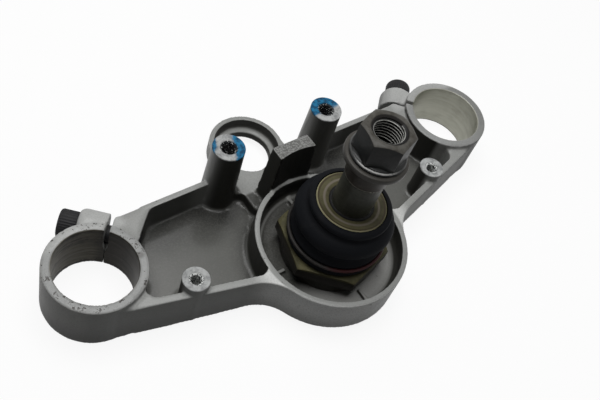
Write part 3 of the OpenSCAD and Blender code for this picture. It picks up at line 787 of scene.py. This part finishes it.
# Machined face of a post or boss, with a real thread down its hole
def makeMouth(kind, side):
    s = tapped[kind]
    outer, thread, pitch = s["outer"], s["thread"], s["pitch"]
    minor = thread - 0.62 * pitch
    low = -0.9 - s["turns"] * pitch
    outline = [(0.3, low), (minor, low)]
    for k in range(s["turns"]):
        z = low + k * pitch
        outline += [(thread, z + 0.35 * pitch), (thread, z + 0.5 * pitch),
                    (minor, z + 0.9 * pitch), (minor, z + pitch)]
    outline += [(thread + 0.35, -0.05), (thread + 0.5, 0.04), (outer - 0.2, 0.04), (outer, -0.15), (outer, -0.7),
                (thread + 0.6, -0.7), (thread + 0.6, low - 0.5), (0.3, low - 0.5)]
    piece = turned(kind + ("Left" if side < 0 else "Right"), outline, 64, poles=True)
    x, y = s["at"]
    placed(piece, Matrix.Translation(Vector((side * x, y, s["top"])) * mm))
    return shown(piece, "bridge", finishes[kind], "cast_aluminium", angle=30)


for kind in tapped:
    for side in (-1, 1):
        makeMouth(kind, side)
print("tapped faces made")

# reach, ear and height: place of the head's underside, measured along the slit, across it and upwards
boltSizes = {
    "reach": 24.5, "ear": 13.5, "height": 12.5, "shank": 4, "head": 6.5, "headLength": 8, "key": 6, "keyDepth": 4,
    "length": 28.2, "knurl": 0.955}


def makeBolt(side):
    s = boltSizes
    r, h, shank, end = s["head"], s["headLength"], s["shank"], 0.6 - s["length"]
    outline = [(0.4, end), (shank - 0.8, end), (shank, end + 0.8), (shank, 0),
               (r - 0.3, 0), (r, 0.3), (r, h - 1.1), (r - 0.35, h - 0.35), (r - 1, h), (0.4, h)]
    piece = turned("clampBoltLeft" if side < 0 else "clampBoltRight", outline, 72, poles=True)
    # knurling: every second line of points round the head goes in a little
    place = placesOf(piece)
    turn = np.degrees(np.arctan2(place[:, 1], place[:, 0])) % 10
    knurls = (place[:, 2] > 0.2) & (place[:, 2] < h - 1) & (np.hypot(place[:, 0], place[:, 1]) > r - 0.1)
    squeezed(piece, knurls & (np.minimum(turn, 10 - turn) < 1), s["knurl"])
    alone()
    bpy.ops.mesh.primitive_cylinder_add(vertices=6, radius=s["key"] / 2 / cos(pi / 6) * mm,
                                        depth=2 * s["keyDepth"] * mm, location=(0, 0, h * mm))
    combined(piece, bpy.context.object, "DIFFERENCE")
    placed(piece, Matrix.Translation(Vector((-layout["ring"], 0, 0)) * mm)
           @ Matrix.Rotation(radians(layout["slitTurn"]), 4, "Z")
           @ Matrix.Translation(Vector((s["reach"], s["ear"], s["height"])) * mm) @ Matrix.Rotation(-pi / 2, 4, "X"))
    if side > 0:
        placed(piece, Matrix.Diagonal((-1, 1, 1, 1)))
    return shown(piece, "bridge", finishes["black"], "black_steel",
                 "clamp_bolt_left" if side < 0 else "clamp_bolt_right", angle=30)


for side in (-1, 1):
    makeBolt(side)
print("bolts made")


# A CAD node with its edges bevelled
def softCopy(node, name, finish, slot, width):
    piece = copyOfNode(node, name)
    editing(piece)
    bpy.ops.mesh.dissolve_limited(angle_limit=radians(0.5))
    alone(piece)
    bevelled(piece, width)
    return shown(piece, "bridge", finishes[finish], slot, node, angle=40)


softCopy("ball_joint_housing", "jointHousing", "zinc", "yellow_zinc", 0.3)
softCopy("housing_cover", "jointCover", "zinc", "yellow_zinc", 0.2)
softCopy("ball_seat", "jointSeat", "seat", "seat_plastic", 0.15)
print("housing made")

# Radii and heights above the ball's centre; the stud ends inside the nut, so that the nut's thread shows.
studSizes = {
    "ball": 13, "ballFrom": -88, "ballTurn": 137, "ballSteps": 28, "neck": 8.5, "neckLow": 11.2, "neckHigh": 13,
    "shank": 8.9, "shankLow": 21, "shoulder": 50.6, "thread": 7, "pitch": 1.5, "end": 66.8}


def makeStud():
    s = studSizes
    outline = []
    for k in range(s["ballSteps"] + 1):
        angle = radians(s["ballFrom"]) + k * radians(s["ballTurn"]) / s["ballSteps"]
        outline.append((s["ball"] * cos(angle), s["ball"] * sin(angle)))
    outline = [p for p in outline if p[0] > s["neck"] or p[1] < 0]
    shank, shoulder, thread, end = s["shank"], s["shoulder"], s["thread"], s["end"]
    outline += [(s["neck"], s["neckLow"]), (s["neck"], s["neckHigh"]), (shank, s["shankLow"]),
                (shank, shoulder - 0.4), (shank - 0.4, shoulder), (thread - 0.1, shoulder)]
    z = shoulder + 0.6
    while z < end - 2:
        outline += [(thread, z), (thread, z + 0.2), (thread - 0.8, z + 0.75)]
        z += s["pitch"]
    outline += [(thread - 0.2, end - 1.2), (thread - 1.2, end), (0.3, end)]
    piece = placed(turned("ballStud", outline, poles=True), lean)
    return shown(piece, "stud", finishes["stud"], "stud_steel", "ball_stud", angle=30)


makeStud()

# Dished disc, its outer edge rolled up a little
discSizes = {
    "section": [(8.95, 31.4), (13.2, 31.4), (15.5, 31.75), (15.8, 32.1), (15.75, 32.5), (15.45, 32.72), (15.0, 32.62),
                (13.4, 32.35), (12.6, 32.3), (10.6, 32.32), (10.3, 32.1), (9.3, 32.1), (8.95, 32.25)]}
disc = placed(turnedRing("bootDisc", discSizes["section"]), lean)
shown(disc, "boot_top", finishes["disc"], "yellow_zinc_disc", "boot_disc", angle=40)

bushSizes = {
    "section": [(7.05, 50.6), (8.9, 50.6), (9.25, 50.75), (9.4, 51.1), (9.4, 60.9), (9.7, 61.3), (13.3, 61.45),
                (13.65, 61.6), (13.8, 61.95), (13.8, 63.5), (13.6, 63.95), (13.2, 64.2), (12.6, 64.3), (7.05, 64.3)]}
bush = placed(turnedRing("flangedBush", bushSizes["section"]), lean)
shown(bush, "stud", finishes["bush"], "bush_steel", "flanged_bush", angle=25)

# edge: the flange's outline, out from its radius and up from its underside; ridge: section of one thread, out from
# the bore and up; topRadius and slope: the cone that chamfers the hexagon
nutSizes = {
    "bore": 7.05, "pitch": 1.5, "low": 67.0, "high": 77.6, "bottom": 64.3, "top": 78.9, "flats": 20.4, "turn": 18.5,
    "topRadius": 9.8, "slope": 0.577, "mouth": 0.9, "flange": 12.2, "flangeHeight": 3.6,
    "edge": [(-0.1, 0.15), (0, 0.7), (-0.1, 1.3), (-0.5, 1.75), (-1.2, 1.95), (-1.8, 2.3), (-2.1, 3.0), (-2.2, 3.6)],
    "ridge": [(0.3, 0.05), (0.3, 1.35), (-0.75, 0.6), (-0.75, 0.8)]}


def makeNut():
    s = nutSizes
    r, top, bottom, wide, below = s["bore"], s["top"], s["bottom"], 16, 60     # the cutters reach past the nut
    alone()
    bpy.ops.mesh.primitive_cylinder_add(vertices=6, radius=s["flats"] / 2 / cos(pi / 6) * mm,
                                        depth=(top - bottom) * mm, location=(0, 0, (top + bottom) / 2 * mm),
                                        rotation=(0, 0, radians(s["turn"] - 90)))
    nut = bpy.context.object
    nut.name = "flangeNut"
    bpy.ops.object.transform_apply()
    cone = turned("chamfer", [(0.3, below), (wide, below), (wide, top - (wide - s["topRadius"]) * s["slope"]),
                              (s["topRadius"], top), (0.3, top)], 128, poles=True)
    combined(nut, cone, "INTERSECT")
    hole = turned("hole", [(0.3, below), (r, below), (r, top - s["mouth"]), (r + s["mouth"], top),
                           (r + s["mouth"], top + 1), (0.3, top + 1)], poles=True)
    combined(nut, hole, "DIFFERENCE")
    bevelled(nut, 0.3)
    shown(placed(nut, lean), "stud", finishes["nut"], "nut_steel", "flange_nut", angle=40)
    under = [(r + 0.1, bottom), (s["flange"] - 0.4, bottom)]
    edge = softLine([(s["flange"] + x, bottom + z) for x, z in s["edge"]], 3)
    flange = placed(turnedRing("nutFlange", under + edge + [(r + 0.1, bottom + s["flangeHeight"])]), lean)
    shown(flange, "stud", finishes["nut"], "nut_steel", "flange_nut", angle=50)
    # real thread in the nut's mouth: a small section carried round and up by a screw
    alone()
    bpy.ops.mesh.primitive_plane_add(size=1, location=(0, 0, 0))
    ridge = bpy.context.object
    ridge.name = "nutThread"
    for v, (x, z) in zip(ridge.data.vertices, s["ridge"]):
        v.co = Vector((r + x, 0, z + s["low"])) * mm
    modified(ridge, "SCREW", angle=2 * pi, screw_offset=s["pitch"] * mm, steps=64, render_steps=64, axis="Z",
             iterations=int((s["high"] - s["low"]) / s["pitch"]), use_merge_vertices=True, merge_threshold=0.002 * mm)
    finished(ridge)
    placed(ridge, lean)
    return shown(ridge, "stud", finishes["thread"], "nut_steel", angle=40)


makeNut()
print("stud, disc, bush and nut made")

# low: height of the foot; rise: from there to the lip; outside and inside: radius and share of the rise;
# split: where the two halves meet, as a share; waist: inner radius there
bootSizes = {
    "low": 24.1, "rise": 24.7, "split": 0.34, "waist": 19.3, "footShare": 0.02,
    "outside": [(21.8, 0.02), (22.0, 0.09), (21.1, 0.13), (20.6, 0.18), (21.3, 0.23), (20.4, 0.29), (19.6, 0.34),
                (19.8, 0.41), (21.4, 0.50), (22.5, 0.59), (22.2, 0.68), (20.6, 0.755), (18.6, 0.80), (17.7, 0.835),
                (18.1, 0.875), (18.7, 0.92), (18.6, 0.965), (17.9, 0.99), (16.9, 1.0)],
    "inside": [(16.2, 1.0), (16.1, 0.927), (9.4, 0.927), (9.4, 0.86), (15.4, 0.84), (20.4, 0.66), (20.6, 0.55),
               (19.5, 0.38)]}


# The foot stays level and the lip leans with the stud.
def leant(piece):
    for v in piece.data.vertices:
        share = (v.co.z - bootSizes["low"] * mm) / (bootSizes["rise"] * mm)
        turn = Matrix.Rotation(radians(layout["lean"]) * share, 3, "Y")
        v.co = turn @ (v.co - Vector((0, 0, ball.z))) + ball
    return piece


def makeBoot():
    s = bootSizes

    def raised(points):
        return [(r, s["low"] + share * s["rise"]) for r, share in points]

    split = [share for r, share in s["outside"]].index(s["split"])
    waist = raised([(s["waist"], s["split"])])
    low = raised([(s["waist"], s["footShare"])]) + softLine(raised(s["outside"][:split + 1])) + waist
    lower = leant(turnedRing("bootLower", low))
    shown(lower, None, finishes["rubber"], "boot_rubber", "boot", angle=50)
    high = softLine(raised(s["outside"][split:])) + raised(s["inside"]) + waist
    upper = leant(turnedRing("bootUpper", high))
    shown(upper, None, finishes["rubber"], "boot_rubber", "boot", angle=50)
    foot = ball.z + (s["low"] - layout["ballHeight"]) * mm
    top = foot + s["rise"] * mm
    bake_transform(lower)
    top - 3 * mm
    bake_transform(upper)


makeBoot()

wireSizes = {"radius": 21.85, "wire": 0.8, "share": 0.18}          # share: height as a share of the boot's rise


def makeWire():
    s = wireSizes
    alone()
    height = bootSizes["low"] + s["share"] * bootSizes["rise"]
    bpy.ops.mesh.primitive_torus_add(major_segments=144, minor_segments=14, major_radius=s["radius"] * mm,
                                     minor_radius=s["wire"] * mm, location=(0, ball.y, height * mm))
    wire = bpy.context.object
    wire.name = "bootWire"
    bpy.ops.object.transform_apply(location=True)
    shown(wire, "bridge", finishes["wire"], "ring_steel", "boot_lower_ring", angle=60)


makeWire()
print("boot made")

# floor: grey for the light that it throws back; shadow: how much of a shadow the camera sees; fill: soft light from
# around
stageLook = {"size": 6, "floor": 0.2, "pale": 0.9, "white": 1.0, "shadow": 0.1, "fill": 0.025}


def makeStage():
    look = stageLook
    alone()
    bpy.ops.mesh.primitive_plane_add(size=look["size"], location=(0, 0, 0))
    floor = bpy.context.object
    floor.name = "floor"
    f = Finish("paleFloor")
    plain = f.node("BsdfDiffuse", values={"Color": (look["floor"],) * 3})
    pale = f.node("BsdfDiffuse", values={"Color": (look["pale"],) * 3})
    light = f.node("Emission", values={"Color": (1, 1, 1), "Strength": look["white"]})
    white = f.node("MixShader", values={0: look["shadow"], 1: light, 2: pale})
    both = f.node("MixShader", values={0: f.seen(), 1: plain, 2: white})
    f.node("OutputMaterial", values={"Surface": both}, out=None)
    floor.data.materials.append(f.material)
    world = bpy.data.worlds.new("studio")
    bpy.context.scene.world = world
    world.use_nodes = True
    around = Nodes(world.node_tree)
    level = around.node("MapRange", values={"Value": around.seen(), "To Min": look["fill"], "To Max": look["white"]})
    back = around.node("Background", values={"Color": (1, 1, 1), "Strength": level})
    around.node("OutputWorld", values={"Surface": back}, out=None)


lamps = {"topBox": {"place": (0.0, 0.14, 0.85), "size": 0.62, "power": 7.6, "aim": (0, -0.01, 0.02)}}


def makeLamp(name):
    s = lamps[name]
    lamp = bpy.data.lights.new(name, "AREA")
    lamp.size, lamp.energy = s["size"], s["power"]
    piece = bpy.data.objects.new(name, lamp)
    bpy.context.scene.collection.objects.link(piece)
    piece.location = s["place"]
    piece.rotation_euler = (Vector(s["place"]) - Vector(s["aim"])).to_track_quat("Z", "Y").to_euler()


# The camera was solved from the two rings of the photograph: place in metres, directions on the CAD axes.
cameraSizes = {
    "lens": 52.52, "sensor": 36, "near": 0.01, "place": (-0.204411, -0.156298, 0.331843),
    "right": (0.784282, -0.571348, 0.241789), "down": (-0.354903, -0.732838, -0.580511),
    "ahead": (0.508866, 0.369472, -0.777525)}


def makeCamera():
    s = cameraSizes
    data = bpy.data.cameras.new("camera")
    data.lens, data.sensor_width, data.clip_start = s["lens"], s["sensor"], s["near"]
    camera = bpy.data.objects.new("camera", data)
    bpy.context.scene.collection.objects.link(camera)
    axes = [Vector(s["right"]), -Vector(s["down"]), -Vector(s["ahead"])]
    camera.matrix_world = Matrix.Translation(s["place"]) @ Matrix(axes).transposed().to_4x4()
    bpy.context.scene.camera = camera


makeStage()
for name in lamps:
    makeLamp(name)
makeCamera()
bpy.context.scene.view_settings.view_transform = "Standard"

alone()
print("scene ready")
